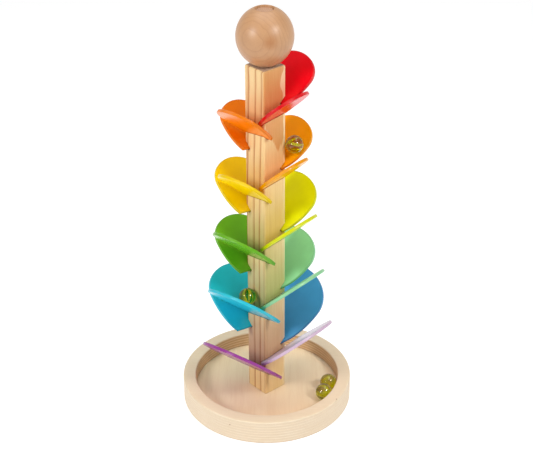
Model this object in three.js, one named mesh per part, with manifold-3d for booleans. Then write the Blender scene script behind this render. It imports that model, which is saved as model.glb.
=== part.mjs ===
// Marble tree: a square wooden post that carries nineteen painted leaves in a falling
// spiral, stands in a round plywood tray and wears a turned ball. Four glass marbles roll
// down it: one lies on an upper leaf, one on a lower leaf and two in the tray.
// Millimetres, +Z up, origin at the middle of the tray's underside.

import * as THREE from "three";
import { mergeVertices } from "three/addons/utils/BufferGeometryUtils.js";
import Module from "manifold-3d";

const wasm = await Module();
wasm.setup();

// ---- driving dimensions ----

const GAP = 0.3; // clearance left wherever two pieces meet

const RING_OUTER_R = 80;
const RING_INNER_R = 68;
const RING_HEIGHT = 23.5;
const RING_EDGE_R = 1.2;
const REBATE_R = 72; // step in the ring's underside that takes the floor board

const FLOOR_TOP = 9.2;
const FLOOR_BOTTOM = 1;

const POST_SIDE = 25;
const POST_EDGE_R = 1.6;
const POST_BOTTOM = FLOOR_TOP + GAP;
const POST_TOP = 339.8;

const LEAF_COUNT = 19;
const LEAF_THICKNESS = 2.8;
const LEAF_PITCH = 15.45; // drop from one leaf to the next
const FIRST_LEAF_Z = 313.8; // height at which the first leaf's top meets the post's face
const LEAF_TILT = THREE.MathUtils.degToRad(43.2); // rise away from the post
const LEAF_SLOPE = THREE.MathUtils.degToRad(8); // fall along the post's face
const STEEP_SLOPE = THREE.MathUtils.degToRad(12); // the same on two low leaves, sawn steeper
const STEEP_LEAVES = [14, 18];
const KERF_DEPTH = 6.2; // how far a leaf goes into the post, measured level
const KERF_SPARE = 0.7; // empty end of the saw cut behind a leaf

// Leaves grow down the post: half of a leaf's width, and how many leaves have it.
const LEAF_SIZES = [
  { halfWidth: 23.6, count: 7 },
  { halfWidth: 26.8, count: 2 },
  { halfWidth: 28, count: 4 },
  { halfWidth: 32.4, count: 3 },
  { halfWidth: 36.3, count: 3 },
];
// How far each leaf was glued off the usual place along its kerf.
const LEAF_SHIFTS = [2, 1, 0, -2, 0, 1, 1, -2.5, 1.5, 0, 2.5, -1.5, -1, 1, 2, 0, -1.5, 0, 4.5];

const BALL_R = 24.7; // level radius
const BALL_HALF_HEIGHT = 26;
const BALL_BORE_R = 8;
const BALL_BORE_BEVEL = 0.9;
const DOWEL_R = BALL_BORE_R - GAP;
const DOWEL_RECESS = 2; // how far the dowel's end lies below the ball's crown
const DOWEL_IN_POST = 18;
const DOWEL_BEVEL = 0.5;

const SCREW_R = 2.5;
const SCREW_HEAD_R = 5;
const SCREW_HEAD_HEIGHT = 3;
const SCREW_LENGTH = 45;
const SCREW_POINT = 6; // length of the tapered tip
const SCREW_SLOT = { length: 5, width: 1.1, depth: 1.8 };
const SCREW_RECESS = 0.6; // head below the floor board's underside

const MARBLE_R = 8;
const UPPER_MARBLE_LEAF = 4; // leaves are counted from 0 at the top
const LOWER_MARBLE_LEAF = 14;
const LOW_MARBLE_TRAVEL = 2.6; // place of the lower marble along its leaf's groove
const TRAY_MARBLE_ANGLES = { back: -50.6, front: -66.2 }; // degrees round the post

const PAINTS = {
  red: 0xd8141c,
  orange: 0xf07a05,
  amber: 0xf79a05,
  yellow: 0xfbca04,
  lime: 0xd9dc08,
  green: 0x5cab22,
  mint: 0x86cb8c,
  cyan: 0x52bccb,
  blue: 0x3b80b8,
  lavender: 0xc9a8d6,
  purple: 0x9a3c9e,
};
const LEAF_PAINTS = [
  "red", "red", "orange", "orange", "amber", "amber", "yellow", "yellow", "lime", "lime",
  "green", "green", "mint", "mint", "cyan", "cyan", "blue", "lavender", "purple",
];

// ---- materials ----

const wood = (color, roughness = 0.6) =>
  new THREE.MeshStandardMaterial({ color, roughness, metalness: 0 });
const plywood = wood(0xe8d6b6, 0.65);
const pine = wood(0xe6c08c, 0.6);
const beech = wood(0xc99766, 0.42);
const steel = new THREE.MeshStandardMaterial({ color: 0xb9bbbd, roughness: 0.35, metalness: 1 });
const marbleGlass = new THREE.MeshStandardMaterial({
  color: 0xa9a81e,
  roughness: 0.03,
  metalness: 0,
  transparent: true,
  opacity: 0.6,
});

// ---- helpers ----

// Closed three.js geometry to a manifold solid.
function toSolid(geometry) {
  const bare = geometry.clone();
  bare.deleteAttribute("normal");
  bare.deleteAttribute("uv");
  const merged = mergeVertices(bare, 1e-4);
  return new wasm.Manifold(
    new wasm.Mesh({
      numProp: 3,
      vertProperties: new Float32Array(merged.attributes.position.array),
      triVerts: new Uint32Array(merged.index.array),
    }),
  );
}

// Manifold solid back to three.js geometry.
function toGeometry(solid) {
  const { vertProperties, triVerts } = solid.getMesh();
  const geometry = new THREE.BufferGeometry();
  geometry.setAttribute("position", new THREE.BufferAttribute(vertProperties, 3));
  geometry.setIndex(new THREE.BufferAttribute(triVerts, 1));
  geometry.computeVertexNormals();
  return geometry;
}

function cutFrom(geometry, cutters) {
  const solid = cutters.reduce((rest, cutter) => rest.subtract(toSolid(cutter)), toSolid(geometry));
  return toGeometry(solid);
}

// Solid of revolution about Z. The profile is [radius, height] pairs that run up the
// outside and down the inside; it is closed here unless it starts and ends on the axis.
function turned(profile, segments) {
  const points = profile.map(([radius, height]) => new THREE.Vector2(radius, height));
  if (points[0].x > 0) points.push(points[0].clone());
  return new THREE.LatheGeometry(points, segments).rotateX(Math.PI / 2);
}

// Points of a round edge between two directions given as angles in degrees.
function roundEdge(centreX, centreY, radius, fromDegrees, toDegrees, steps = 3) {
  return Array.from({ length: steps + 1 }, (_, step) => {
    const angle = THREE.MathUtils.degToRad(THREE.MathUtils.lerp(fromDegrees, toDegrees, step / steps));
    return [centreX + radius * Math.cos(angle), centreY + radius * Math.sin(angle)];
  });
}

function named(name, geometry, material) {
  const mesh = new THREE.Mesh(geometry, material);
  mesh.name = name;
  return mesh;
}

// ---- leaf frame ----

// A leaf is drawn as if it grew from the post's +X face, then turned round the post.
// u runs along the face with the marble's travel, v runs out and up across the leaf,
// and the normal points up out of its top side.
const outRise = Math.tan(LEAF_TILT);
const travelFall = (index) => Math.tan(STEEP_LEAVES.includes(index) ? STEEP_SLOPE : LEAF_SLOPE);

function leafAxes(index) {
  const fall = travelFall(index);
  const normal = new THREE.Vector3(-outRise, -fall, 1).normalize();
  const u = new THREE.Vector3(0, -1, -fall).normalize();
  return { u, v: new THREE.Vector3().crossVectors(normal, u), normal };
}

const kerfDepthInLeaf = (index) => KERF_DEPTH / leafAxes(index).v.x;
const leafHeight = (index) => FIRST_LEAF_Z - LEAF_PITCH * index;
const leafTurn = (index) => (-Math.PI / 2) * index; // each leaf is one face further round

function leafMatrix(index) {
  const { u, v, normal } = leafAxes(index);
  const local = new THREE.Matrix4().makeBasis(u, v, normal);
  local.setPosition(POST_SIDE / 2, 0, leafHeight(index));
  return new THREE.Matrix4().makeRotationZ(leafTurn(index)).multiply(local);
}

// Place beside the post over a leaf, from the distance out from the face, the travel
// along the face and the clear height above the leaf's top side, square to it.
function overLeaf(index, out, travel, clear) {
  const height = outRise * out - travelFall(index) * travel + clear / leafAxes(index).normal.z;
  return new THREE.Vector3(POST_SIDE / 2 + out, -travel, leafHeight(index) + height).applyAxisAngle(
    new THREE.Vector3(0, 0, 1),
    leafTurn(index),
  );
}

function leafHalfWidth(index) {
  let last = 0;
  return LEAF_SIZES.find(({ count }) => index < (last += count)).halfWidth;
}

// Petal outline: a round outer end, longer sides that close in towards the post, and a
// straight inner edge. Wider leaves reach further out and further upstream.
function leafShape(index) {
  const halfWidth = leafHalfWidth(index);
  const grown = halfWidth - LEAF_SIZES[0].halfWidth;
  const middle = -1.2 - 0.68 * grown + LEAF_SHIFTS[index];
  const waist = 20.6 + 1.2 * grown;
  const outerEnd = 0.78 * halfWidth;
  const innerSide = 1.6 * halfWidth;
  const cutAngle = Math.asin((kerfDepthInLeaf(index) + waist) / innerSide);
  const shape = new THREE.Shape();
  shape.absellipse(middle, waist, halfWidth, innerSide, -cutAngle, 0);
  shape.absellipse(middle, waist, halfWidth, outerEnd, 0, Math.PI);
  shape.absellipse(middle, waist, halfWidth, innerSide, Math.PI, Math.PI + cutAngle);
  shape.closePath();
  return shape;
}

// ---- tray ----

function makeRing() {
  const edge = RING_EDGE_R;
  const profile = [
    ...roundEdge(RING_OUTER_R - edge, edge, edge, -90, 0),
    ...roundEdge(RING_OUTER_R - edge, RING_HEIGHT - edge, edge, 0, 90),
    ...roundEdge(RING_INNER_R + edge, RING_HEIGHT - edge, edge, 90, 180),
    [RING_INNER_R, FLOOR_TOP + GAP],
    [REBATE_R, FLOOR_TOP + GAP],
    [REBATE_R, 0],
  ];
  return named("base_ring", turned(profile, 80), plywood);
}

function makeFloor() {
  const headTop = FLOOR_BOTTOM + SCREW_RECESS + SCREW_HEAD_HEIGHT;
  const profile = [
    [SCREW_HEAD_R + GAP, FLOOR_BOTTOM],
    [REBATE_R - GAP, FLOOR_BOTTOM],
    [REBATE_R - GAP, FLOOR_TOP],
    [SCREW_R + GAP, FLOOR_TOP],
    [SCREW_R + GAP, headTop + GAP],
    [SCREW_HEAD_R + GAP, FLOOR_BOTTOM + SCREW_RECESS + GAP],
  ];
  return named("base_floor", turned(profile, 80), plywood);
}

// ---- post ----

function postShape() {
  const half = POST_SIDE / 2;
  const inner = half - POST_EDGE_R;
  const shape = new THREE.Shape();
  shape.absarc(inner, inner, POST_EDGE_R, 0, Math.PI / 2);
  shape.absarc(-inner, inner, POST_EDGE_R, Math.PI / 2, Math.PI);
  shape.absarc(-inner, -inner, POST_EDGE_R, Math.PI, 1.5 * Math.PI);
  shape.absarc(inner, -inner, POST_EDGE_R, 1.5 * Math.PI, 2 * Math.PI);
  return shape;
}

// Saw cut for one leaf, open on both neighbouring faces.
function kerfCutter(index) {
  const across = 2.4 * POST_SIDE;
  const inner = -kerfDepthInLeaf(index) - KERF_SPARE;
  const outer = POST_SIDE / 2;
  return new THREE.BoxGeometry(across, outer - inner, LEAF_THICKNESS + 2 * GAP)
    .translate(0, (outer + inner) / 2, -LEAF_THICKNESS / 2)
    .applyMatrix4(leafMatrix(index));
}

function boreCutter(radius, bottom, top, sides) {
  return new THREE.CylinderGeometry(radius, radius, top - bottom, sides)
    .rotateX(Math.PI / 2)
    .translate(0, 0, (bottom + top) / 2);
}

function makePost() {
  const bar = new THREE.ExtrudeGeometry(postShape(), {
    depth: POST_TOP - POST_BOTTOM,
    bevelEnabled: false,
    curveSegments: 2,
  }).translate(0, 0, POST_BOTTOM);
  const screwTop = FLOOR_BOTTOM + SCREW_RECESS + SCREW_LENGTH;
  const cutters = [
    boreCutter(BALL_BORE_R, POST_TOP - DOWEL_IN_POST - GAP, POST_TOP + 1, 24),
    boreCutter(SCREW_R + GAP, POST_BOTTOM - 1, screwTop + GAP, 16),
  ];
  for (let index = 0; index < LEAF_COUNT; index += 1) cutters.push(kerfCutter(index));
  return named("post", cutFrom(bar, cutters), pine);
}

// Countersunk wood screw up through the floor board into the post, with a cross slot.
function makeScrew() {
  const bottom = FLOOR_BOTTOM + SCREW_RECESS;
  const body = turned(
    [
      [0, bottom],
      [SCREW_HEAD_R, bottom],
      [SCREW_R, bottom + SCREW_HEAD_HEIGHT],
      [SCREW_R, bottom + SCREW_LENGTH - SCREW_POINT],
      [0, bottom + SCREW_LENGTH],
    ],
    16,
  );
  const { length, width, depth } = SCREW_SLOT;
  const slots = [0, Math.PI / 2].map((turn) =>
    new THREE.BoxGeometry(length, width, 2 * depth).rotateZ(turn).translate(0, 0, bottom),
  );
  return named("post_screw", cutFrom(body, slots), steel);
}

// ---- ball ----

const ballRise = (radius) => BALL_HALF_HEIGHT * Math.sqrt(1 - (radius / BALL_R) ** 2);
const ballCentre = POST_TOP + 2 * GAP + ballRise(BALL_BORE_R);
const ballCrown = ballCentre + ballRise(BALL_BORE_R);

function makeBall() {
  const steps = 16;
  const mouth = BALL_BORE_R + BALL_BORE_BEVEL;
  const startAngle = -Math.acos(BALL_BORE_R / BALL_R);
  const endAngle = Math.acos(mouth / BALL_R);
  const outside = Array.from({ length: steps + 1 }, (_, step) => {
    const angle = THREE.MathUtils.lerp(startAngle, endAngle, step / steps);
    return [BALL_R * Math.cos(angle), ballCentre + BALL_HALF_HEIGHT * Math.sin(angle)];
  });
  const profile = [...outside, [BALL_BORE_R, ballCrown - BALL_BORE_BEVEL]];
  return named("finial_ball", turned(profile, 40), beech);
}

function makeDowel() {
  const bottom = POST_TOP - DOWEL_IN_POST;
  const top = ballCrown - DOWEL_RECESS;
  const profile = [
    [0, bottom],
    [DOWEL_R, bottom],
    [DOWEL_R, top - DOWEL_BEVEL],
    [DOWEL_R - DOWEL_BEVEL, top],
    [0, top],
  ];
  return named("finial_dowel", turned(profile, 28), beech);
}

// ---- leaves ----

function makeLeaf(index) {
  const paint = LEAF_PAINTS[index];
  const number = String(index + 1).padStart(2, "0");
  const geometry = new THREE.ExtrudeGeometry(leafShape(index), {
    depth: LEAF_THICKNESS,
    bevelEnabled: false,
    curveSegments: 8,
  }).translate(0, 0, -LEAF_THICKNESS);
  const leaf = named(`leaf_${number}_${paint}`, geometry, wood(PAINTS[paint], 0.45));
  leaf.applyMatrix4(leafMatrix(index));
  return leaf;
}

// ---- marbles ----

function makeMarble(name, place) {
  const marble = named(name, new THREE.SphereGeometry(MARBLE_R, 20, 14), marbleGlass);
  marble.position.copy(place);
  return marble;
}

function makeMarbles() {
  const clear = MARBLE_R + GAP;
  // The upper marble has rolled down its leaf against the post's rounded edge.
  const atEdge = (clear + POST_EDGE_R) * Math.SQRT1_2 - POST_EDGE_R;
  const upper = overLeaf(UPPER_MARBLE_LEAF, atEdge, POST_SIDE / 2 + atEdge, clear);
  const lower = overLeaf(LOWER_MARBLE_LEAF, clear, LOW_MARBLE_TRAVEL, clear);
  const orbit = RING_INNER_R - clear;
  const inTray = (degrees) =>
    new THREE.Vector3(orbit, 0, FLOOR_TOP + clear).applyAxisAngle(
      new THREE.Vector3(0, 0, 1),
      THREE.MathUtils.degToRad(degrees),
    );
  return [
    makeMarble("marble_on_amber_leaf", upper),
    makeMarble("marble_on_cyan_leaf", lower),
    makeMarble("marble_in_tray_back", inTray(TRAY_MARBLE_ANGLES.back)),
    makeMarble("marble_in_tray_front", inTray(TRAY_MARBLE_ANGLES.front)),
  ];
}

// ---- assembly ----

const marbleTree = new THREE.Group();
marbleTree.add(makeRing(), makeFloor(), makePost(), makeScrew(), makeBall(), makeDowel());
for (let index = 0; index < LEAF_COUNT; index += 1) marbleTree.add(makeLeaf(index));
marbleTree.add(...makeMarbles());

export default marbleTree;
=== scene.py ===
"""Looks for the marble tree: a tray, a post with nineteen painted leaves, a turned ball and
four glass marbles. Metres, +Z up, origin at the middle of the tray's underside."""

import math

import bmesh
import bpy
from mathutils import Matrix, Vector


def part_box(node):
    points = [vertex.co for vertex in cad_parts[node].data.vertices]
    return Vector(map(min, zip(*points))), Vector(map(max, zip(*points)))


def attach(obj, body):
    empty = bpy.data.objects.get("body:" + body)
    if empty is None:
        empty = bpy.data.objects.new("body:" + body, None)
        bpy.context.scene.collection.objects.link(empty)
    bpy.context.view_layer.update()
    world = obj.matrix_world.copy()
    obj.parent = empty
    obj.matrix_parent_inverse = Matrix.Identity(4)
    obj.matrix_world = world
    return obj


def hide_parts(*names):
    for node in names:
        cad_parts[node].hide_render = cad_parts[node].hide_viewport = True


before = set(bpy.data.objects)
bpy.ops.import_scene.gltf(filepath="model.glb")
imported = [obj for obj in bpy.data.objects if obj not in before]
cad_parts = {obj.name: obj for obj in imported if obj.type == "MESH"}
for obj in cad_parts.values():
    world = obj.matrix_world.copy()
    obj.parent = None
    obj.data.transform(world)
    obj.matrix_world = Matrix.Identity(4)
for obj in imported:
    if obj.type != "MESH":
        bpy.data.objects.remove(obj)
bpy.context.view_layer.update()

MM = 0.001
GAP = 0.3 * MM

# ---- sizes of the pieces, as in the CAD model ----

RING_OUTER_R = 80 * MM
RING_INNER_R = 68 * MM
RING_HEIGHT = 23.5 * MM
RING_EDGE_R = 1.2 * MM
REBATE_R = 72 * MM
REBATE_BEVEL = 0.3 * MM
PLY = 1.45 * MM
PLY_GROOVE = 0.05 * MM
PLY_GROOVE_HALF_WIDTH = 0.16 * MM

FLOOR_TOP = 9.2 * MM
FLOOR_BOTTOM = 1 * MM
FLOOR_EDGE_R = 0.3 * MM

POST_SIDE = 25 * MM
POST_EDGE_R = 1.6 * MM
POST_END_R = 1.9 * MM
POST_BOTTOM = FLOOR_TOP + GAP
POST_TOP = 339.8 * MM
# How much sharper the long edges get as the top end rounds in, as a share of that rounding.
POST_CORNER_LOSS = 0.6

LEAF_COUNT = 19
LEAF_THICKNESS = 2.8 * MM
LEAF_PITCH = 15.45 * MM
LEAF_EDGE_R = 0.6 * MM
LEAF_FACE_INSET = LEAF_EDGE_R + 0.5 * MM
FIRST_LEAF_Z = 313.8 * MM
LEAF_TILT = math.radians(43.2)
LEAF_SLOPE = math.radians(8)
STEEP_SLOPE = math.radians(12)
STEEP_LEAVES = (14, 18)
KERF_DEPTH = 6.2 * MM
KERF_SPARE = 0.7 * MM
KERF_CUTTER_LENGTH = 2.4 * POST_SIDE
LEAF_SIZES = ((23.6 * MM, 7), (26.8 * MM, 2), (28 * MM, 4), (32.4 * MM, 3), (36.3 * MM, 3))
LEAF_HALF_WIDTHS = [half_width for half_width, count in LEAF_SIZES for _ in range(count)]
LEAF_SHIFTS_MM = (2, 1, 0, -2, 0, 1, 1, -2.5, 1.5, 0, 2.5, -1.5, -1, 1, 2, 0, -1.5, 0, 4.5)

# The leaf outline: where the narrowest leaf is widest, from the middle of the post's face and
# out from that face, and how far that point moves for each extra length of half width. From
# there the outer end and the inner sides are ellipses this many half widths long.
LEAF_MIDDLE = -1.2 * MM
LEAF_MIDDLE_GROWTH = -0.68
LEAF_WAIST = 20.6 * MM
LEAF_WAIST_GROWTH = 1.2
LEAF_OUTER_END = 0.78
LEAF_INNER_SIDE = 1.6

BALL_R = 24.7 * MM
BALL_HALF_HEIGHT = 26 * MM
BALL_BORE_R = 8 * MM
BALL_BORE_BEVEL = 0.9 * MM
BALL_BORE_LIP = 0.25 * MM
DOWEL_R = BALL_BORE_R - GAP
DOWEL_RECESS = 2 * MM
DOWEL_IN_POST = 18 * MM
DOWEL_BEVEL = 0.5 * MM

SCREW_R = 2.5 * MM
SCREW_CORE_R = 1.75 * MM
SCREW_HEAD_R = 5 * MM
SCREW_HEAD_HEIGHT = 3 * MM
SCREW_LENGTH = 45 * MM
SCREW_POINT = 6 * MM
SCREW_PLAIN_END = 10 * MM
SCREW_THREAD_START = 2 * MM
SCREW_PITCH = 2.2 * MM
SCREW_SLOT = (5 * MM, 1.1 * MM, 3.6 * MM)
SCREW_RECESS = 0.6 * MM
# Half the width of the thread's ridge, as a share of the pitch.
SCREW_RIDGE = 0.28

MARBLE_R = 8 * MM
MARBLE_WAVER = 0.01 * MM

# Faces that meet at more than this angle keep a crease between them.
SHARP = math.radians(35)
# Sides of each turned piece.
RING_SIDES = 256
FLOOR_SIDES = 192
BALL_SIDES = 128
DOWEL_SIDES = 96
# How far a drill reaches past the face it goes in at.
OVERCUT = 1 * MM

# ---- the view: where the camera stands round the object ----

VIEW_AZIMUTH = math.radians(41.28)
VIEW_ELEVATION = math.radians(29.27)
VIEW_DISTANCE = 1.1504
VIEW_ROLL = math.radians(0.33)
VIEW_AIM_HEIGHT = 0.1833
VIEW_AIM_SIDE = 0.0005
LENS = 86.18
SENSOR = 36

AWAY = Vector((math.sin(VIEW_AZIMUTH), math.cos(VIEW_AZIMUTH), 0))
RIGHT = Vector((math.cos(VIEW_AZIMUTH), -math.sin(VIEW_AZIMUTH), 0))
BACK = -AWAY * math.cos(VIEW_ELEVATION) + Vector((0, 0, math.sin(VIEW_ELEVATION)))
UP = BACK.cross(RIGHT)


def srgb(red, green, blue):
    """Linear colour from the usual 0 to 255 values."""

    def linear(value):
        share = value / 255
        return share / 12.92 if share <= 0.04045 else ((share + 0.055) / 1.055) ** 2.4

    return (linear(red), linear(green), linear(blue), 1.0)


def grey(value):
    return (value, value, value, 1.0)


# ---- materials ----


class Nodes:
    """One procedural material. Values fed in are numbers, colours or other nodes' sockets."""

    def __init__(self, name):
        self.material = bpy.data.materials.new(name)
        self.material.use_nodes = True
        self.tree = self.material.node_tree
        self.tree.nodes.clear()
        self.shader = self.add("ShaderNodeBsdfPrincipled")
        output = self.add("ShaderNodeOutputMaterial")
        self.tree.links.new(self.shader.outputs["BSDF"], output.inputs["Surface"])
        self.place = self.add("ShaderNodeTexCoord").outputs["Object"]

    def add(self, kind, **settings):
        node = self.tree.nodes.new(kind)
        for key, value in settings.items():
            setattr(node, key, value)
        return node

    def feed(self, socket, value):
        if isinstance(value, bpy.types.NodeSocket):
            self.tree.links.new(value, socket)
        else:
            socket.default_value = value

    def finish(self, **values):
        """Feeds the shader's sockets, named with _ for a space, and returns the material."""
        for name, value in values.items():
            self.feed(self.shader.inputs[name.replace("_", " ")], value)
        return self.material

    def math(self, operation, *values):
        node = self.add("ShaderNodeMath", operation=operation)
        for socket, value in zip(node.inputs, values):
            self.feed(socket, value)
        return node.outputs[0]

    def axes(self, vector):
        node = self.add("ShaderNodeSeparateXYZ")
        self.feed(node.inputs[0], vector)
        return node.outputs[0], node.outputs[1], node.outputs[2]

    def join(self, x, y, z):
        node = self.add("ShaderNodeCombineXYZ")
        for socket, value in zip(node.inputs, (x, y, z)):
            self.feed(socket, value)
        return node.outputs[0]

    def along(self, direction, vector=None):
        node = self.add("ShaderNodeVectorMath", operation="DOT_PRODUCT")
        self.feed(node.inputs[0], vector or self.place)
        self.feed(node.inputs[1], tuple(direction))
        return node.outputs["Value"]

    def distance(self, point, vector=None):
        node = self.add("ShaderNodeVectorMath", operation="DISTANCE")
        self.feed(node.inputs[0], vector or self.place)
        self.feed(node.inputs[1], tuple(point))
        return node.outputs["Value"]

    def noise(self, size, detail=2.0, roughness=0.5, vector=None, distortion=0.0):
        """Noise from 0 to 1 whose lumps are about size across, in metres, per axis or all round."""
        sizes = size if isinstance(size, tuple) else (size,) * 3
        scale = self.add("ShaderNodeVectorMath", operation="MULTIPLY")
        self.feed(scale.inputs[0], vector or self.place)
        self.feed(scale.inputs[1], tuple(1 / value for value in sizes))
        node = self.add("ShaderNodeTexNoise")
        self.feed(node.inputs["Vector"], scale.outputs[0])
        self.feed(node.inputs["Scale"], 1.0)
        self.feed(node.inputs["Detail"], detail)
        self.feed(node.inputs["Roughness"], roughness)
        self.feed(node.inputs["Distortion"], distortion)
        return node.outputs[0]

    def level(self, value, low, high, start=0.0, end=1.0, smooth=False):
        """Value from low to high made into start to end, and held there outside."""
        node = self.add("ShaderNodeMapRange", interpolation_type="SMOOTHSTEP" if smooth else "LINEAR")
        for socket, number in zip(node.inputs, (value, low, high, start, end)):
            self.feed(socket, number)
        return node.outputs[0]

    def mix(self, share, first, second):
        node = self.add("ShaderNodeMix", data_type="RGBA")
        self.feed(node.inputs["Factor"], share)
        self.feed(node.inputs[6], first)
        self.feed(node.inputs[7], second)
        return node.outputs[2]

    def curve(self, value, stops):
        """A number that follows stops, which are pairs of place and height, both 0 to 1."""
        node = self.add("ShaderNodeValToRGB")
        self.feed(node.inputs[0], value)
        elements = node.color_ramp.elements
        elements[0].position, elements[0].color = stops[0][0], grey(stops[0][1])
        elements[1].position, elements[1].color = stops[-1][0], grey(stops[-1][1])
        for place, height in stops[1:-1]:
            elements.new(place).color = grey(height)
        return node.outputs[0]

    def bump(self, height, depth):
        node = self.add("ShaderNodeBump")
        self.feed(node.inputs["Height"], height)
        self.feed(node.inputs["Distance"], depth)
        self.feed(node.inputs["Strength"], 1.0)
        return node.outputs[0]


# Outer edges of the year rings, measured from the pith, on the square bar.
PINE_RINGS = (7.6 * MM, 14.7 * MM, 21.7 * MM, 28.6 * MM, 35.25 * MM, 41.15 * MM)
PINE_REACH = 46 * MM
PINE_LATEWOOD = 2.3 * MM
PINE_PITH = (4 * MM, 25.4 * MM)

# The darker, flat-sawn patch on the bar's front right face: the height of its jagged lower
# end, where along the face that end is lowest, where the pale margin beside it starts, the
# height at which the margin is widest, and how far it widens up and down from there and across.
PATCH_LOW = 262 * MM
PATCH_POINT = 4 * MM
PATCH_MARGIN = 9.3 * MM
PATCH_BULGE = 325 * MM
PATCH_BULGE_REACH = 13 * MM
PATCH_BULGE_WIDTH = 3.2 * MM

# The pith leans this far towards the top of the bar, between these heights.
PINE_LEAN = -5 * MM
PINE_LEAN_START = 100 * MM
PINE_LEAN_END = 325 * MM

# The bar is painted pinker between these heights, from where the tint starts to where it is full. This is
# painted bounce light: the pink that the purple and lavender leaves throw on it.
PAINTED_BOUNCE_TOP = (112 * MM, 82 * MM)
PAINTED_BOUNCE_FOOT = (34 * MM, 48 * MM)


def pine_material():
    """Softwood sawn lengthwise: the year rings cross one face as lines and run along the next."""
    n = Nodes("pine_bar")
    x, y, z = n.axes(n.place)
    raised = n.level(z, PINE_LEAN_START, PINE_LEAN_END)
    lean = n.math("MULTIPLY", n.math("POWER", raised, 2.0), PINE_LEAN)
    slow = n.level(n.noise((9 * MM, 9 * MM, 60 * MM), 1), 0, 1, -0.7 * MM, 0.7 * MM)
    fine = n.level(n.noise((1.6 * MM, 1.6 * MM, 14 * MM), 3), 0, 1, -0.32 * MM, 0.32 * MM)
    pith_y = n.math("ADD", lean, PINE_PITH[1])
    from_pith = n.join(n.math("SUBTRACT", x, PINE_PITH[0]), n.math("SUBTRACT", y, pith_y), 0.0)
    radius = n.math("ADD", n.distance((0, 0, 0), from_pith), n.math("ADD", slow, fine))
    stops = [(0.0, 0.0)]
    for edge in PINE_RINGS:
        stops += [
            ((edge - PINE_LATEWOOD) / PINE_REACH, 0.0),
            ((edge - 0.9 * MM) / PINE_REACH, 0.5),
            ((edge - 0.15 * MM) / PINE_REACH, 1.0),
            ((edge + 0.15 * MM) / PINE_REACH, 0.0),
        ]
    flat_face = n.level(y, -11 * MM, -12.1 * MM)
    rings = n.curve(n.math("DIVIDE", radius, PINE_REACH), stops)
    late = n.math("MULTIPLY", rings, n.level(flat_face, 0, 1, 1, 0.12))
    fibre = n.noise((0.35 * MM, 0.35 * MM, 22 * MM), 3, 0.6)
    streak = n.noise((1.3 * MM, 1.3 * MM, 70 * MM), 3, 0.6)
    cloud = n.noise((14 * MM, 14 * MM, 90 * MM), 2)
    wood = n.mix(cloud, srgb(241, 215, 162), srgb(235, 202, 142))
    # Painted bounce light: a pink tint low on the bar stands in for light thrown back by the purple and
    # lavender leaves.
    painted_pink_bounce = n.math("MULTIPLY", n.level(z, *PAINTED_BOUNCE_TOP, 0, 0.32), n.level(z, *PAINTED_BOUNCE_FOOT))
    wood = n.mix(painted_pink_bounce, wood, srgb(224, 172, 142))
    wood = n.mix(late, wood, srgb(178, 106, 54))
    wood = n.mix(n.level(streak, 0.45, 0.75, 0, 0.3), wood, srgb(208, 160, 104))
    wood = n.mix(n.level(fibre, 0.4, 0.75, 0, 0.22), wood, srgb(196, 150, 100))
    wave = n.level(n.noise((40 * MM, 40 * MM, 15 * MM), 1), 0.25, 0.75, -1.4 * MM, 1.4 * MM)
    from_bulge = n.math("ABSOLUTE", n.math("SUBTRACT", z, PATCH_BULGE))
    bulge = n.level(from_bulge, PATCH_BULGE_REACH, 0, 0, PATCH_BULGE_WIDTH, smooth=True)
    margin_start = n.math("SUBTRACT", n.math("ADD", wave, PATCH_MARGIN), bulge)
    margin = n.math("SUBTRACT", x, margin_start)
    jag = n.level(n.noise((1.4 * MM, 1.4 * MM, 40 * MM), 3, 0.7), 0.2, 0.8, -5 * MM, 5 * MM)
    off_point = n.math("ABSOLUTE", n.math("SUBTRACT", x, PATCH_POINT))
    low_end = n.math("ADD", n.math("MULTIPLY", off_point, 1.8), n.math("ADD", jag, PATCH_LOW))
    patch = n.math("MULTIPLY", n.level(n.math("SUBTRACT", z, low_end), -1 * MM, 1 * MM), flat_face)
    line = n.level(n.math("ABSOLUTE", margin), 0.5 * MM, 0.1 * MM, 0, 0.35)
    wood = n.mix(n.math("MULTIPLY", line, patch), wood, srgb(170, 104, 56))
    pale = n.math("MULTIPLY", n.level(margin, 0, 0.5 * MM, 0, 0.5), flat_face)
    wood = n.mix(pale, wood, srgb(242, 222, 182))
    patch = n.math("MULTIPLY", patch, n.level(margin, 0.1 * MM, -0.3 * MM))
    patch = n.math("MULTIPLY", patch, n.level(fibre, 0.3, 0.7, 0.65, 0.9))
    wood = n.mix(patch, wood, srgb(208, 147, 80))
    normal_z = n.along((0, 0, 1), n.add("ShaderNodeNewGeometry").outputs["Normal"])
    end_grain = n.level(n.math("ABSOLUTE", normal_z), 0.75, 0.97)
    pores = n.noise((3 * MM, 0.5 * MM, 2 * MM), 2, 0.6)
    end_wood = n.mix(n.level(pores, 0.35, 0.65), srgb(150, 118, 100), srgb(206, 178, 156))
    wood = n.mix(n.math("MULTIPLY", end_grain, 0.95), wood, end_wood)
    relief = n.math("SUBTRACT", n.math("MULTIPLY", fibre, 0.25), n.math("MULTIPLY", late, 1.0))
    return n.finish(
        Base_Color=wood,
        Roughness=n.level(fibre, 0, 1, 0.42, 0.6),
        Normal=n.bump(relief, 0.16 * MM),
        Specular_IOR_Level=0.35,
    )


# Pin knots in the tray ring: one in the outer wall, one in the top face.
PIN_KNOTS = (
    Vector((-73.4 * MM, -31.9 * MM, 16 * MM)),
    Vector((19.2 * MM, -76.4 * MM, 23.5 * MM)),
)
PIN_KNOT_R = 0.75 * MM


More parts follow.
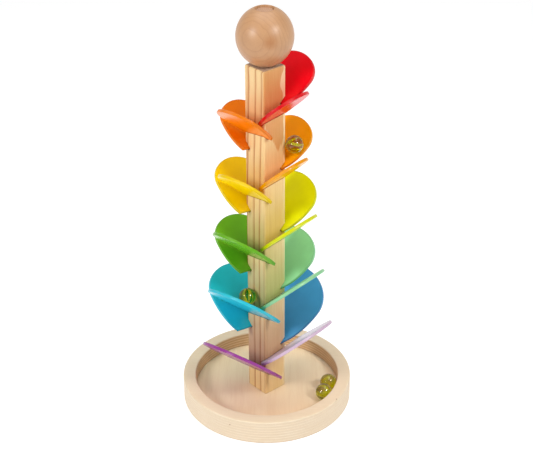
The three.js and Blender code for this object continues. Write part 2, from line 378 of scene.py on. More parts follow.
def plywood_ring_material():
    """Birch plywood: plies cross at right angles, so each wall shows end grain and long grain."""
    n = Nodes("birch_plywood_ring")
    x, y, z = n.axes(n.place)
    ply = n.math("DIVIDE", n.math("SUBTRACT", RING_HEIGHT, z), PLY)
    number = n.math("FLOOR", ply)
    odd = n.math("MODULO", number, 2.0)
    share = n.math("FRACT", ply)
    lengthwise, crosswise = n.along(RIGHT), n.along(AWAY)
    turn = n.add("ShaderNodeMix", data_type="FLOAT")
    back_turn = n.add("ShaderNodeMix", data_type="FLOAT")
    for node, first, second in ((turn, lengthwise, crosswise), (back_turn, crosswise, lengthwise)):
        n.feed(node.inputs["Factor"], odd)
        n.feed(node.inputs[2], first)
        n.feed(node.inputs[3], second)
    along_grain, over_grain = turn.outputs[0], back_turn.outputs[0]
    flat_radius = n.distance((0, 0, 0), n.join(x, y, 0.0))
    normal = n.add("ShaderNodeNewGeometry").outputs["Normal"]
    face_up = n.level(n.math("ABSOLUTE", n.along((0, 0, 1), normal)), 0.6, 0.95)
    on_wall = n.math("SUBTRACT", 1.0, face_up)
    inside = n.math("MULTIPLY", n.level(flat_radius, RING_INNER_R + 2 * MM, RING_INNER_R), on_wall)
    end_grain = n.math("POWER", n.math("DIVIDE", along_grain, flat_radius), 2.0)
    end_grain = n.math("MULTIPLY", end_grain, on_wall)
    shifted = n.join(along_grain, over_grain, n.math("ADD", z, n.math("MULTIPLY", number, 0.01)))
    streaks = n.noise((26 * MM, 0.9 * MM, 0.9 * MM), 3, 0.6, shifted)
    pores = n.noise(0.25 * MM, 2, 0.6)
    cloud = n.noise((30 * MM, 12 * MM, 12 * MM), 2, 0.5, shifted)
    wood = n.mix(cloud, srgb(234, 219, 197), srgb(228, 207, 177))
    wood = n.mix(n.math("MULTIPLY", face_up, 0.55), wood, srgb(232, 208, 170))
    wood = n.mix(n.level(streaks, 0.45, 0.8, 0, 0.28), wood, srgb(212, 180, 136))
    wood = n.mix(n.math("MULTIPLY", end_grain, 0.26), wood, srgb(206, 180, 148))
    wood = n.mix(n.math("MULTIPLY", end_grain, n.level(pores, 0.5, 0.8, 0, 0.3)), wood, srgb(160, 126, 92))
    wood = n.mix(n.math("MULTIPLY", inside, 0.5), wood, srgb(226, 178, 114))
    wood = n.mix(n.math("MULTIPLY", n.math("MULTIPLY", inside, odd), 0.42), wood, srgb(184, 126, 72))
    from_middle = n.math("ABSOLUTE", n.math("SUBTRACT", share, 0.5))
    glue = n.math("MULTIPLY", n.level(from_middle, 0.38, 0.49), on_wall)
    glue = n.math("MULTIPLY", glue, n.level(inside, 0, 1, 0.3, 0.6))
    wood = n.mix(glue, wood, srgb(164, 128, 92))
    # Painted shade: darker towards the ring's foot, where its rounded lower edge turns under towards the
    # floor.
    wood = n.mix(n.level(z, 1.6 * MM, 0.5 * MM, 0, 0.55), wood, srgb(176, 140, 104))
    for knot in PIN_KNOTS:
        near = n.level(n.distance(knot), PIN_KNOT_R, 0.4 * PIN_KNOT_R, 0, 0.9)
        wood = n.mix(near, wood, srgb(140, 76, 42))
    relief = n.math("SUBTRACT", n.math("MULTIPLY", streaks, 0.4), n.math("MULTIPLY", end_grain, pores))
    return n.finish(
        Base_Color=wood,
        Roughness=n.level(streaks, 0.2, 0.8, 0.5, 0.66),
        Normal=n.bump(relief, 0.05 * MM),
        Specular_IOR_Level=0.3,
    )


def floor_board_material():
    """Veneered board, its grain running from the front of the tray to the back."""
    n = Nodes("birch_plywood_floor")
    lengthwise, crosswise, z = n.along(AWAY), n.along(RIGHT), n.axes(n.place)[2]
    grain_place = n.join(crosswise, lengthwise, z)
    waver = n.level(n.noise((18 * MM, 60 * MM, 60 * MM), 2, 0.5, grain_place), 0, 1, -3 * MM, 3 * MM)
    bent = n.join(n.math("ADD", crosswise, waver), lengthwise, z)
    figure = n.noise((2.6 * MM, 60 * MM, 20 * MM), 3, 0.55, bent)
    fibre = n.noise((0.5 * MM, 16 * MM, 4 * MM), 3, 0.65, bent)
    cloud = n.noise((26 * MM, 50 * MM, 40 * MM), 2, 0.5, grain_place)
    wood = n.mix(cloud, srgb(253, 234, 198), srgb(248, 225, 184))
    front = n.level(lengthwise, -12 * MM, -60 * MM, 0, 0.55, smooth=True)
    front = n.math("MULTIPLY", front, n.level(cloud, 0.25, 0.7, 0.4, 1))
    wood = n.mix(front, wood, srgb(226, 184, 132))
    wood = n.mix(n.level(figure, 0.48, 0.75, 0, 0.18), wood, srgb(218, 178, 128))
    wood = n.mix(n.level(fibre, 0.5, 0.8, 0, 0.18), wood, srgb(206, 164, 116))
    return n.finish(
        Base_Color=wood,
        Roughness=n.level(fibre, 0.2, 0.8, 0.46, 0.62),
        Normal=n.bump(fibre, 0.04 * MM),
        Specular_IOR_Level=0.3,
    )


# The ball's grain: which way it runs, which side faces away from the pith, how far off the pith
# is and how wide a year ring is. Then a stain on the varnish, from the ball's middle.
BEECH_AXIS = (RIGHT * 0.62 + UP * 0.72 - BACK * 0.3).normalized()
BEECH_CROWN = (RIGHT * -0.42 + UP * -0.3 + BACK * 0.86).normalized()
BEECH_PITH_DISTANCE = 60 * MM
BEECH_RING = 2.7 * MM
BEECH_STAIN = RIGHT * 5 * MM + UP * -9 * MM + BACK * 22 * MM
BEECH_STAIN_R = 9 * MM


def beech_material(name, centre):
    """Turned and varnished beech: soft year rings, short dark rays and a clear coat."""
    n = Nodes(name)
    local = n.add("ShaderNodeVectorMath", operation="SUBTRACT")
    n.feed(local.inputs[0], n.place)
    n.feed(local.inputs[1], tuple(centre))
    local = local.outputs[0]
    outward = BEECH_CROWN
    side = BEECH_AXIS.cross(outward).normalized()
    axis = outward.cross(side)
    sideways, lengthwise, depth = n.along(side, local), n.along(axis, local), n.along(outward, local)
    grain_place = n.join(sideways, lengthwise, depth)
    pith = n.join(sideways, n.math("MULTIPLY", lengthwise, 0.42), depth)
    wobble = n.level(n.noise((12 * MM, 30 * MM, 12 * MM), 2, 0.5, grain_place), 0, 1, -1.6 * MM, 1.6 * MM)
    radius = n.math("ADD", n.distance((0, 0, -BEECH_PITH_DISTANCE), pith), wobble)
    ring = n.math("FRACT", n.math("DIVIDE", radius, BEECH_RING))
    late = n.curve(ring, [(0.0, 0.0), (0.6, 0.06), (0.86, 0.45), (0.94, 1.0), (1.0, 0.0)])
    rays = n.noise((0.28 * MM, 2.4 * MM, 0.9 * MM), 2, 0.55, grain_place)
    cloud = n.noise(11 * MM, 3, 0.5, grain_place)
    wood = n.mix(cloud, srgb(194, 148, 104), srgb(172, 126, 86))
    wood = n.mix(n.math("MULTIPLY", late, 0.32), wood, srgb(146, 98, 60))
    wood = n.mix(n.level(rays, 0.56, 0.76, 0, 0.3), wood, srgb(146, 100, 66))
    stain = n.distance(BEECH_STAIN, local)
    stain = n.level(stain, BEECH_STAIN_R, 1 * MM, 0, 0.95, smooth=True)
    stain = n.math("MULTIPLY", stain, n.level(cloud, 0.3, 0.7, 0.6, 1))
    wood = n.mix(stain, wood, srgb(164, 106, 56))
    return n.finish(
        Base_Color=wood,
        Roughness=n.level(rays, 0.2, 0.8, 0.4, 0.5),
        Normal=n.bump(rays, 0.02 * MM),
        Coat_Weight=0.4,
        Coat_Roughness=0.34,
    )


# The dowel's year rings: their middle, and the width of one.
DOWEL_PITH = (30 * MM, -16 * MM, 0)
DOWEL_RING = 1.7 * MM


def dowel_material():
    """Beech dowel: pinkish end grain in fine arcs, long grain down the side."""
    n = Nodes("beech_dowel")
    x, y, _ = n.axes(n.place)
    arcs = n.distance(DOWEL_PITH, n.join(x, y, 0.0))
    ring = n.math("FRACT", n.math("DIVIDE", arcs, DOWEL_RING))
    late = n.curve(ring, [(0.0, 0.0), (0.6, 0.2), (0.9, 1.0), (1.0, 0.0)])
    pores = n.noise((0.2 * MM, 0.2 * MM, 9 * MM), 2, 0.6)
    wood = n.mix(n.math("MULTIPLY", late, 0.45), srgb(190, 150, 120), srgb(158, 108, 80))
    wood = n.mix(n.level(pores, 0.5, 0.75, 0, 0.45), wood, srgb(164, 108, 78))
    return n.finish(
        Base_Color=wood,
        Roughness=n.level(pores, 0.2, 0.8, 0.48, 0.62),
        Normal=n.bump(pores, 0.03 * MM),
    )


def paint_material(name, colour):
    """Satin paint on thin plywood: faint cloudiness, orange peel, wood grain just telling through."""
    n = Nodes(name)
    cloud = n.noise(16 * MM, 3, 0.5)
    peel = n.noise(0.9 * MM, 2, 0.5)
    grain = n.noise((0.7 * MM, 9 * MM, 3 * MM), 2, 0.5)
    darker = tuple(0.94 * value for value in colour[:3]) + (1.0,)
    lighter = tuple(min(1.0, 1.05 * value) for value in colour[:3]) + (1.0,)
    edge = tuple(0.72 * value for value in colour[:3]) + (1.0,)
    shade = n.mix(n.level(cloud, 0.3, 0.7), darker, lighter)
    shade = n.mix(n.level(grain, 0.5, 0.8, 0, 0.25), shade, darker)
    rim = n.add("ShaderNodeAttribute", attribute_name="rim").outputs["Fac"]
    worn = n.math("MULTIPLY", rim, n.level(cloud, 0.45, 0.7, 0, 0.06))
    shade = n.mix(n.math("MULTIPLY", rim, 0.8), shade, edge)
    shade = n.mix(worn, shade, srgb(236, 226, 208))
    relief = n.math("ADD", peel, n.math("MULTIPLY", grain, 0.5))
    return n.finish(
        Base_Color=shade,
        Roughness=n.level(cloud, 0.25, 0.75, 0.2, 0.27),
        Normal=n.bump(relief, 0.012 * MM),
        Specular_IOR_Level=0.22,
    )


def glass_material():
    """Clear olive glass with faint striae, and a thin coat that keeps its highlights sharp."""
    n = Nodes("marble_glass")
    striae = n.noise((2 * MM, 5 * MM, 2 * MM), 2, 0.5, distortion=0.6)
    tint = n.mix(striae, (0.57, 0.54, 0.01, 1), (0.66, 0.61, 0.02, 1))
    return n.finish(
        Base_Color=tint,
        Roughness=0.0,
        IOR=1.5,
        Transmission_Weight=1.0,
        Specular_IOR_Level=0.2,
        Coat_Weight=0.5,
        Coat_Roughness=0.05,
    )


def ribbon_material():
    """Opaque yellow-green glass of the vanes, streaked along their length."""
    n = Nodes("marble_ribbon")
    streaks = n.noise((1.6 * MM, 1.6 * MM, 1.6 * MM), 3, 0.55, distortion=0.8)
    shade = n.mix(n.level(streaks, 0.3, 0.7), (0.92, 0.90, 0.01, 1), (1.0, 1.0, 0.05, 1))
    roughness = n.level(streaks, 0.3, 0.7, 0.4, 0.55)
    return n.finish(Base_Color=shade, Roughness=roughness, Specular_IOR_Level=0.1)


def steel_material():
    """Zinc-plated screw, slightly uneven from barrel plating."""
    n = Nodes("zinc_steel")
    grain = n.noise(0.5 * MM, 3, 0.6)
    shade = n.mix(n.level(grain, 0.3, 0.7), srgb(158, 160, 164), srgb(198, 200, 202))
    return n.finish(
        Base_Color=shade,
        Metallic=1.0,
        Roughness=n.level(grain, 0.3, 0.7, 0.26, 0.42),
        Normal=n.bump(grain, 0.01 * MM),
    )


# ---- mesh helpers ----


def make_object(name, vertices, faces, material, sharp=SHARP):
    mesh = bpy.data.meshes.new(name)
    mesh.from_pydata(vertices, [], faces)
    mesh.materials.append(material)
    tidy_mesh(mesh, sharp)
    piece = bpy.data.objects.new(name, mesh)
    bpy.context.scene.collection.objects.link(piece)
    return piece


def tidy_mesh(mesh, sharp=SHARP):
    """Faces out, smooth shading, and a crease wherever two faces meet more sharply than that."""
    work = bmesh.new()
    work.from_mesh(mesh)
    bmesh.ops.recalc_face_normals(work, faces=work.faces)
    work.to_mesh(mesh)
    work.free()
    mesh.shade_smooth()
    mesh.set_sharp_from_angle(angle=sharp)


def place(piece, body, slot, *nodes):
    """The piece rides on its body and stands for the nodes. The slot is not used."""
    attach(piece, body)
    if nodes:
        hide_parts(*nodes)


def turned(name, profile, segments, material, sharp=SHARP):
    """Solid of revolution about Z from (radius, height) pairs. Unless the profile starts on the
    axis, its last point is joined to its first."""
    vertices, rows = [], []
    for radius, height in profile:
        if radius == 0:
            rows.append([len(vertices)] * segments)
            vertices.append((0, 0, height))
            continue
        rows.append(list(range(len(vertices), len(vertices) + segments)))
        for step in range(segments):
            angle = 2 * math.pi * step / segments
            vertices.append((radius * math.cos(angle), radius * math.sin(angle), height))
    if profile[0][0] > 0:
        rows.append(rows[0])
    faces = []
    for low, high in zip(rows, rows[1:]):
        for step in range(segments):
            after = (step + 1) % segments
            corners = (low[step], low[after], high[after], high[step])
            faces.append(tuple(dict.fromkeys(corners)))
    return make_object(name, vertices, faces, material, sharp)


def skin(rows, count):
    """Faces over that many rows of count points each: both ends and the walls between rows."""
    faces = [tuple(range(count)), tuple(range((rows - 1) * count, rows * count))]
    for row in range(rows - 1):
        low, high = row * count, (row + 1) * count
        for step in range(count):
            after = (step + 1) % count
            faces.append((low + step, low + after, high + after, high + step))
    return faces


def arc(centre_r, centre_z, radius, start, end, steps=6):
    """Profile points round an edge, between two angles in degrees."""
    points = []
    for step in range(steps + 1):
        angle = math.radians(start + (end - start) * step / steps)
        points.append((centre_r + radius * math.cos(angle), centre_z + radius * math.sin(angle)))
    return points


def cut(piece, cutters):
    """Takes each cutter out of the piece and removes the cutters."""
    for cutter in cutters:
        modifier = piece.modifiers.new("cut", "BOOLEAN")
        modifier.operation = "DIFFERENCE"
        modifier.solver = "EXACT"
        modifier.object = cutter
        bpy.context.view_layer.update()
        evaluated = piece.evaluated_get(bpy.context.evaluated_depsgraph_get())
        mesh = bpy.data.meshes.new_from_object(evaluated)
        piece.modifiers.clear()
        piece.data = mesh
        bpy.data.objects.remove(cutter)


def as_object(work, name):
    """The bmesh as an object of its own in the scene."""
    mesh = bpy.data.meshes.new(name)
    work.to_mesh(mesh)
    work.free()
    piece = bpy.data.objects.new(name, mesh)
    bpy.context.scene.collection.objects.link(piece)
    return piece


def block(size, matrix):
    """A box cutter of that size about the matrix's origin."""
    work = bmesh.new()
    bmesh.ops.create_cube(work, size=1.0, matrix=matrix @ Matrix.Diagonal((*size, 1)))
    return as_object(work, "cutter")


def drill(radius, bottom, top, sides=48):
    """A round cutter about the Z axis."""
    work = bmesh.new()
    bmesh.ops.create_cone(
        work,
        cap_ends=True,
        segments=sides,
        radius1=radius,
        radius2=radius,
        depth=top - bottom,
        matrix=Matrix.Translation((0, 0, (bottom + top) / 2)),
    )
    return as_object(work, "drill")


# ---- tray ----


def grooved_wall(radius, start, end, outward):
    """Points up or down a wall, with a hairline groove at each glue line."""
    lowest = min(start, end) + 2 * PLY_GROOVE_HALF_WIDTH
    highest = max(start, end) - 2 * PLY_GROOVE_HALF_WIDTH
    count = int(RING_HEIGHT / PLY)
    lines = [RING_HEIGHT - number * PLY for number in range(1, count + 1)]
    lines = sorted((height for height in lines if lowest < height < highest), reverse=start > end)
    step = math.copysign(PLY_GROOVE_HALF_WIDTH, end - start)
    points = []
    for height in lines:
        points += [
            (radius, height - step),
            (radius - outward * PLY_GROOVE, height),
            (radius, height + step),
        ]
    return points


def make_ring():
    edge = RING_EDGE_R
    ledge = FLOOR_TOP + GAP
    profile = [
        *arc(RING_OUTER_R - edge, edge, edge, -90, 0),
        *grooved_wall(RING_OUTER_R, edge, RING_HEIGHT - edge, 1),
        *arc(RING_OUTER_R - edge, RING_HEIGHT - edge, edge, 0, 90),
        *arc(RING_INNER_R + edge, RING_HEIGHT - edge, edge, 90, 180),
        *grooved_wall(RING_INNER_R, RING_HEIGHT - edge, ledge, -1),
        (RING_INNER_R, ledge),
        (REBATE_R, ledge),
        (REBATE_R, REBATE_BEVEL),
        (REBATE_R + REBATE_BEVEL, 0),
    ]
    ring = turned("tray_ring", profile, RING_SIDES, plywood_ring_material(), math.radians(50))
    place(ring, "tree", "plywood_ring", "base_ring")


def make_floor():
    head_top = FLOOR_BOTTOM + SCREW_RECESS + SCREW_HEAD_HEIGHT
    outside = REBATE_R - GAP
    edge = FLOOR_EDGE_R
    profile = [
        (SCREW_HEAD_R + GAP, FLOOR_BOTTOM),
        *arc(outside - edge, FLOOR_BOTTOM + edge, edge, -90, 0, 3),
        *arc(outside - edge, FLOOR_TOP - edge, edge, 0, 90, 3),
        (SCREW_R + GAP, FLOOR_TOP),
        (SCREW_R + GAP, head_top + GAP),
        (SCREW_HEAD_R + GAP, FLOOR_BOTTOM + SCREW_RECESS + GAP),
    ]
    board = turned("tray_floor", profile, FLOOR_SIDES, floor_board_material())
    place(board, "tree", "plywood_floor", "base_floor")


# ---- leaves ----


def leaf_axes(index):
    """Along the post's face with the marble's travel, out across the leaf, and up from its top."""
    fall = math.tan(STEEP_SLOPE if index in STEEP_LEAVES else LEAF_SLOPE)
    normal = Vector((-math.tan(LEAF_TILT), -fall, 1)).normalized()
    travel = Vector((0, -1, -fall)).normalized()
    return travel, normal.cross(travel), normal


def kerf_in_leaf(index):
    """Depth of a leaf's kerf, measured along the leaf."""
    return KERF_DEPTH / leaf_axes(index)[1].x


def leaf_matrix(index):
    """From a leaf's own frame to its place on the post."""
    local = Matrix(leaf_axes(index)).transposed().to_4x4()
    local.translation = (POST_SIDE / 2, 0, FIRST_LEAF_Z - LEAF_PITCH * index)
    return Matrix.Rotation(-math.pi / 2 * index, 4, "Z") @ local


def leaf_outline(index, steps=44):
    """Petal outline, anticlockwise: a round outer end, and sides that close in to a straight
    inner edge."""
    half_width = LEAF_HALF_WIDTHS[index]
    grown = half_width - LEAF_HALF_WIDTHS[0]
    middle = LEAF_MIDDLE + LEAF_MIDDLE_GROWTH * grown + LEAF_SHIFTS_MM[index] * MM
    waist = LEAF_WAIST + LEAF_WAIST_GROWTH * grown
    outer_end = LEAF_OUTER_END * half_width
    inner_side = LEAF_INNER_SIDE * half_width
    cut_angle = math.asin((kerf_in_leaf(index) + waist) / inner_side)

    def point(reach, angle):
        return Vector((middle + half_width * math.cos(angle), waist + reach * math.sin(angle)))

    points = []
    for reach, start, end, count in (
        (inner_side, -cut_angle, 0, steps // 2),
        (outer_end, 0, math.pi, steps),
        (inner_side, math.pi, math.pi + cut_angle, steps // 2),
    ):
        points += [point(reach, start + (end - start) * step / count) for step in range(count)]
    return points + [point(inner_side, math.pi + cut_angle)]


def inset(points, depth):
    """The outline moved inwards by depth, its corners mitred."""
    moved = []
    for index, point in enumerate(points):
        before = (point - points[index - 1]).normalized()
        after = (points[(index + 1) % len(points)] - point).normalized()
        inward = Vector((-before.y - after.y, before.x + after.x)).normalized()
        shrink = inward.dot(Vector((-after.y, after.x)))
        moved.append(point + inward * depth / max(shrink, 0.5))
    return moved


def leaf_sections():
    """Pairs of inset and height round a leaf's edge, from its top face round to its underside."""
    edge = LEAF_EDGE_R
    steps = 4
    upper = [(LEAF_FACE_INSET, 0.0)]
    for step in range(steps + 1):
        angle = math.pi / 2 * step / steps
        upper.append((edge * (1 - math.sin(angle)), -edge * (1 - math.cos(angle))))
    return upper + [(depth, -LEAF_THICKNESS - height) for depth, height in reversed(upper)]


def make_leaf(index, node, material):
    outline = leaf_outline(index)
    matrix = leaf_matrix(index)
    vertices, rims = [], []
    sections = leaf_sections()
    for depth, height in sections:
        for point in inset(outline, depth):
            vertices.append(matrix @ Vector((point.x, point.y, height)))
            rims.append(0.0 if depth > LEAF_EDGE_R else 1.0)
    faces = skin(len(sections), len(outline))
    leaf = make_object(node + "_painted", vertices, faces, material)
    leaf.data.attributes.new("rim", "FLOAT", "POINT").data.foreach_set("value", rims)
    place(leaf, "tree", node.split("_")[2] + "_paint", node)


PAINTS = {
    "red": srgb(224, 4, 22),
    "orange": srgb(244, 128, 0),
    "amber": srgb(246, 162, 0),
    "yellow": srgb(252, 216, 0),
    "lime": srgb(222, 228, 0),
    "green": srgb(110, 184, 36),
    "mint": srgb(150, 218, 164),
    "cyan": srgb(42, 202, 224),
    "blue": srgb(74, 152, 204),
    "lavender": srgb(222, 190, 216),
    "purple": srgb(162, 68, 154),
}


def make_leaves():
    materials = {name: paint_material(name + "_paint", colour) for name, colour in PAINTS.items()}
    nodes = sorted(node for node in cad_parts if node.startswith("leaf_"))
    for index, node in enumerate(nodes):
        make_leaf(index, node, materials[node.split("_")[2]])


# ---- post ----


def rounded_square(half, corner, height, steps=8):
    """Points round a square with rounded corners, at one height."""
    inner = half - corner
    points = []
    for quarter in range(4):
        middle = math.pi / 2 * quarter + math.pi / 4
        across, along = math.cos(middle), math.sin(middle)
        centre = Vector((math.copysign(inner, across), math.copysign(inner, along), height))
        for step in range(steps + 1):
            angle = math.pi / 2 * (quarter + step / steps)
            points.append(centre + corner * Vector((math.cos(angle), math.sin(angle), 0)))
    return points


def make_bar(material):
    half = POST_SIDE / 2
    rows = [(0.0, POST_BOTTOM)]
    steps = 6
    for step in range(steps + 1):
        angle = math.pi / 2 * step / steps
        rows.append((POST_END_R * (1 - math.cos(angle)), POST_TOP - POST_END_R * (1 - math.sin(angle))))
    vertices = []
    for depth, height in rows:
        vertices += rounded_square(half - depth, POST_EDGE_R - POST_CORNER_LOSS * depth, height)
    faces = skin(len(rows), len(vertices) // len(rows))
    return make_object("square_post", vertices, faces, material)


def kerf_cutter(index):
    inner = -kerf_in_leaf(index) - KERF_SPARE
    outer = POST_SIDE / 2
    middle = Matrix.Translation((0, (outer + inner) / 2, -LEAF_THICKNESS / 2))
    size = (KERF_CUTTER_LENGTH, outer - inner, LEAF_THICKNESS + 2 * GAP)
    return block(size, leaf_matrix(index) @ middle)


def make_post():
    screw_top = FLOOR_BOTTOM + SCREW_RECESS + SCREW_LENGTH
    post = make_bar(pine_material())
    cutters = [
        drill(BALL_BORE_R, POST_TOP - DOWEL_IN_POST - GAP, POST_TOP + OVERCUT),
        drill(SCREW_R + GAP, POST_BOTTOM - OVERCUT, screw_top + GAP),
    ]
    cutters += [kerf_cutter(index) for index in range(LEAF_COUNT)]
    cut(post, cutters)
    tidy_mesh(post.data)
    place(post, "tree", "pine_post", "post")


# ---- ball and dowel ----


def ball_rise(radius):
    return BALL_HALF_HEIGHT * math.sqrt(1 - (radius / BALL_R) ** 2)


BALL_CENTRE = POST_TOP + 2 * GAP + ball_rise(BALL_BORE_R)
BALL_CROWN = BALL_CENTRE + ball_rise(BALL_BORE_R)


def make_ball():
    steps = 72
    mouth = BALL_BORE_R + BALL_BORE_BEVEL
    start = -math.acos(BALL_BORE_R / BALL_R)
    end = math.acos(mouth / BALL_R)
    profile = []
    for step in range(steps + 1):
        angle = start + (end - start) * step / steps
        profile.append((BALL_R * math.cos(angle), BALL_CENTRE + BALL_HALF_HEIGHT * math.sin(angle)))
    profile.append((BALL_BORE_R + BALL_BORE_LIP, BALL_CROWN - 0.5 * BALL_BORE_BEVEL))
    profile.append((BALL_BORE_R, BALL_CROWN - 1.3 * BALL_BORE_BEVEL))
    centre = Vector((0, 0, BALL_CENTRE))
    ball = turned("turned_ball", profile, BALL_SIDES, beech_material("varnished_beech", centre))
    place(ball, "tree", "beech_ball", "finial_ball")


def make_dowel():
    bottom = POST_TOP - DOWEL_IN_POST
    top = BALL_CROWN - DOWEL_RECESS
    bevel = DOWEL_BEVEL
    profile = [
        (0, bottom),
        *arc(DOWEL_R - bevel, bottom + bevel, bevel, -90, 0, 4),
        *arc(DOWEL_R - bevel, top - bevel, bevel, 0, 90, 4),
        (0, top),
    ]
    dowel = turned("ball_dowel", profile, DOWEL_SIDES, dowel_material())
    place(dowel, "tree", "beech_dowel", "finial_dowel")


# ---- screw ----


def screw_radius(depth, turn):
    """Radius at a depth from the head's flat face and a share of a turn round the shank."""
    if depth < SCREW_HEAD_HEIGHT:
        share = depth / SCREW_HEAD_HEIGHT
        return SCREW_HEAD_R + (SCREW_CORE_R - SCREW_HEAD_R) * share
    from_tip = SCREW_LENGTH - depth
    taper = min(1.0, from_tip / SCREW_POINT)
    threaded = min(1.0, max(0.0, (depth - SCREW_PLAIN_END) / SCREW_THREAD_START))
    phase = (depth / SCREW_PITCH - turn) % 1.0
    ridge = max(0.0, 1 - abs(phase - 0.5) / SCREW_RIDGE)
    return taper * (SCREW_CORE_R + (SCREW_R - SCREW_CORE_R) * ridge * threaded)


def make_screw():
    bottom = FLOOR_BOTTOM + SCREW_RECESS
    around, rows = 32, 260
    vertices = [(0, 0, bottom)]
    for row in range(rows):
        depth = SCREW_LENGTH * (row / rows)
        for step in range(around):
            angle = 2 * math.pi * step / around
            radius = screw_radius(depth, step / around)
            vertices.append((radius * math.cos(angle), radius * math.sin(angle), bottom + depth))
    vertices.append((0, 0, bottom + SCREW_LENGTH))
    faces = []
    for step in range(around):
        after = (step + 1) % around
        faces.append((0, 1 + after, 1 + step))
        tip_row = 1 + (rows - 1) * around
        faces.append((tip_row + step, tip_row + after, len(vertices) - 1))
        for row in range(rows - 1):
            low = 1 + row * around
            high = low + around
            faces.append((low + step, low + after, high + after, high + step))
    screw = make_object("wood_screw", vertices, faces, steel_material())
    slots = [
        block(SCREW_SLOT, Matrix.Translation((0, 0, bottom)) @ Matrix.Rotation(turn, 4, "Z"))
        for turn in (0, math.pi / 2)
    ]
    cut(screw, slots)
    tidy_mesh(screw.data)
    place(screw, "tree", "steel_screw", "post_screw")


# ---- marbles ----

RIBBON_HALF_THICKNESS = 0.22 * MM


def make_ribbons(name, centre, axis, half_length, strips, radius, half_width, sway, turns, material):
    """Strips of coloured glass round an axis inside the marble, each pointed at both ends."""
    axis = axis.normalized()
    first = axis.cross(BACK).normalized()
    second = axis.cross(first)
    first_turn, twist = turns
    steps, sides = 40, 12
    vertices, faces = [], []
    for strip in range(strips):
        start = len(vertices)
        vertices.append(centre - axis * half_length)
        for step in range(1, steps):
            share = 2 * step / steps - 1
            swell = math.cos(share * math.pi / 2)
            angle = first_turn + 2 * math.pi * strip / strips + twist * share
            outward = first * math.cos(angle) + second * math.sin(angle)
            across = second * math.cos(angle) - first * math.sin(angle)
            middle = centre + axis * half_length * share + second * sway * math.sin(math.pi * share)
            spine = middle + outward * radius * swell**0.6
            for side in range(sides):
                round_edge = 2 * math.pi * side / sides
                wide = across * half_width * swell**0.7 * math.cos(round_edge)
                thick = outward * RIBBON_HALF_THICKNESS * swell**0.5 * math.sin(round_edge)
                vertices.append(spine + wide + thick)
        vertices.append(centre + axis * half_length)
        end = len(vertices) - 1
        for side in range(sides):
            after = (side + 1) % sides
            faces.append((start, start + 1 + side, start + 1 + after))
            faces.append((end - sides + after, end - sides + side, end))
            for row in range(steps - 2):
                low = start + 1 + row * sides
                faces.append((low + after, low + side, low + sides + side, low + sides + after))
    return make_object(name, vertices, faces, material, math.radians(60))


def make_glass(name, centre, material):
    """A pressed glass ball: very slightly uneven, so that its reflections waver a little."""
    work = bmesh.new()
    bmesh.ops.create_icosphere(work, subdivisions=5, radius=MARBLE_R)
    for vertex in work.verts:
        direction = vertex.co.normalized()
        waver = math.sin(3 * direction.x + 1) * math.sin(4 * direction.y + 2) * math.sin(3 * direction.z)
        vertex.co = direction * (MARBLE_R - MARBLE_WAVER + MARBLE_WAVER * waver) + centre
    ball = as_object(work, name)
    ball.data.materials.append(material)
    ball.data.shade_smooth()
    return ball


# Each marble's CAD node and its body, and its ribbons' axis as right, up and towards the viewer.
# Then their half length, number, distance from the axis, half width and sideways sway, all but
# the number in millimetres, and where the first lies round the axis and how far each twists.
MARBLES = (
    ("marble_on_amber_leaf", "upper_marble", (0.95, 0.1, 0.15), (6.6, 3, 3.2, 1.05, 2.3), (30, 45)),
    ("marble_on_cyan_leaf", "lower_marble", (0.14, -0.97, 0.2), (5.4, 4, 3.3, 1.0, 0.4), (60, 24)),
    ("marble_in_tray_back", "back_marble", (0.35, 0.9, 0.2), (6.2, 2, 3.6, 2.0, 0.4), (215, 20)),
    ("marble_in_tray_front", "front_marble", (0.9, -0.1, 0.4), (6.2, 3, 4.2, 1.5, 0.8), (75, 45)),
)


def make_marbles():
    glass, ribbon = glass_material(), ribbon_material()
    for node, body, seen, sizes, turns in MARBLES:
        low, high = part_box(node)
        centre = (low + high) / 2
        axis = RIGHT * seen[0] + UP * seen[1] + BACK * seen[2]
        half_length, strips, radius, half_width, sway = sizes
        lengths = (half_length * MM, strips, radius * MM, half_width * MM, sway * MM)
        turns = [math.radians(value) for value in turns]
        ribbons = make_ribbons(node + "_ribbons", centre, axis, *lengths, turns, ribbon)
        place(ribbons, body, "marble_glass")
        place(make_glass(node + "_glass", centre, glass), body, "marble_glass", node)


# ---- stage ----

# Softboxes: degrees round from the camera, positive to its right; degrees up; width, height
# and distance in metres; watts.
SOFTBOXES = {
    "softbox_left": (-53, 29, 0.28, 0.32, 1.3, 6.5),
    "softbox_right": (50, 38, 0.28, 0.32, 1.3, 6.5),
    "softbox_top": (180, 86, 1.2, 1.2, 1.3, 9),
}

# The studio floor: half its width in metres, how far it lies below the object, its grey and glow.
STAGE_HALF = 6
STAGE_DROP = 0.2 * MM
STAGE_GREY = 0.5
STAGE_GLOW = 0.66

# The cove's brightness at the horizon and overhead, and the sine of the elevation from which
# it is at its dimmest.
COVE_HORIZON = 0.8
COVE_OVERHEAD = 0.36
COVE_FADE_END = 0.5


def make_camera():
    aim = Vector((0, 0, VIEW_AIM_HEIGHT)) + RIGHT * VIEW_AIM_SIDE
    data = bpy.data.cameras.new("camera")
    data.lens = LENS
    data.sensor_width = SENSOR
    data.clip_start = 0.01
    camera = bpy.data.objects.new("camera", data)
    camera.location = aim + BACK * VIEW_DISTANCE
    level = Matrix((RIGHT, UP, BACK)).transposed()
    camera.rotation_euler = (level @ Matrix.Rotation(-VIEW_ROLL, 3, "Z")).to_euler()
    bpy.context.scene.collection.objects.link(camera)
    bpy.context.scene.camera = camera


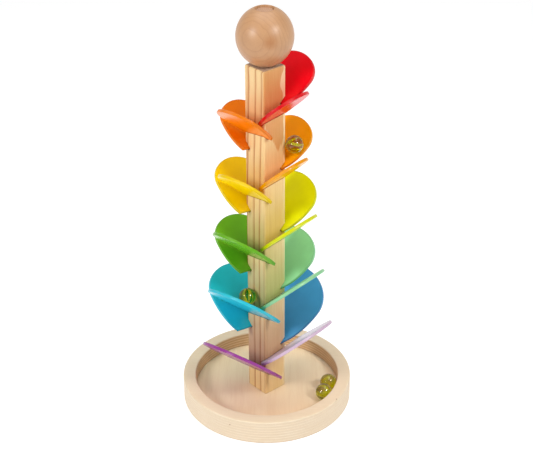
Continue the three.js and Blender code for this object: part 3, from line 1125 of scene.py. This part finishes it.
def make_softbox(name, side_degrees, elevation_degrees, width, height, distance, watts):
    side, elevation = math.radians(side_degrees), math.radians(elevation_degrees)
    level = -AWAY * math.cos(side) + RIGHT * math.sin(side)
    direction = level * math.cos(elevation) + Vector((0, 0, math.sin(elevation)))
    data = bpy.data.lights.new(name, "AREA")
    data.shape = "RECTANGLE"
    data.size = width
    data.size_y = height
    data.energy = watts
    light = bpy.data.objects.new(name, data)
    light.location = Vector((0, 0, VIEW_AIM_HEIGHT)) + direction * distance
    light.rotation_euler = direction.to_track_quat("Z", "Y").to_euler()
    light.visible_camera = False
    bpy.context.scene.collection.objects.link(light)


def make_floor_plane():
    """A plain pale floor that lights its own shadows, as a lit white sweep does."""
    material = bpy.data.materials.new("studio_floor")
    material.use_nodes = True
    shader = material.node_tree.nodes["Principled BSDF"]
    shader.inputs["Base Color"].default_value = grey(STAGE_GREY)
    shader.inputs["Roughness"].default_value = 0.9
    shader.inputs["Emission Color"].default_value = grey(1.0)
    shader.inputs["Emission Strength"].default_value = STAGE_GLOW
    corners = [(-1, -1), (1, -1), (1, 1), (-1, 1)]
    mesh = bpy.data.meshes.new("studio_floor")
    mesh.from_pydata([(STAGE_HALF * x, STAGE_HALF * y, 0) for x, y in corners], [], [(0, 1, 2, 3)])
    mesh.materials.append(material)
    plane = bpy.data.objects.new("studio_floor", mesh)
    plane.location.z = -STAGE_DROP
    bpy.context.scene.collection.objects.link(plane)


def make_world():
    """A pale cove: nearly white at the horizon, where the floor meets it, and dimmer overhead."""
    world = bpy.data.worlds.new("studio")
    world.use_nodes = True
    tree = world.node_tree
    direction = tree.nodes.new("ShaderNodeTexCoord")
    axes = tree.nodes.new("ShaderNodeSeparateXYZ")
    fade = tree.nodes.new("ShaderNodeMapRange")
    tree.links.new(direction.outputs["Generated"], axes.inputs[0])
    tree.links.new(axes.outputs["Z"], fade.inputs["Value"])
    fade.inputs["From Max"].default_value = COVE_FADE_END
    fade.inputs["To Min"].default_value = COVE_HORIZON
    fade.inputs["To Max"].default_value = COVE_OVERHEAD
    background = tree.nodes["Background"]
    background.inputs["Color"].default_value = grey(1.0)
    tree.links.new(fade.outputs[0], background.inputs["Strength"])
    bpy.context.scene.world = world
    bpy.context.scene.view_settings.view_transform = "Standard"


def main():
    make_camera()
    make_world()
    make_floor_plane()
    for name, settings in SOFTBOXES.items():
        make_softbox(name, *settings)
    make_ring()
    make_floor()
    make_post()
    make_screw()
    make_ball()
    make_dowel()
    make_leaves()
    make_marbles()


main()
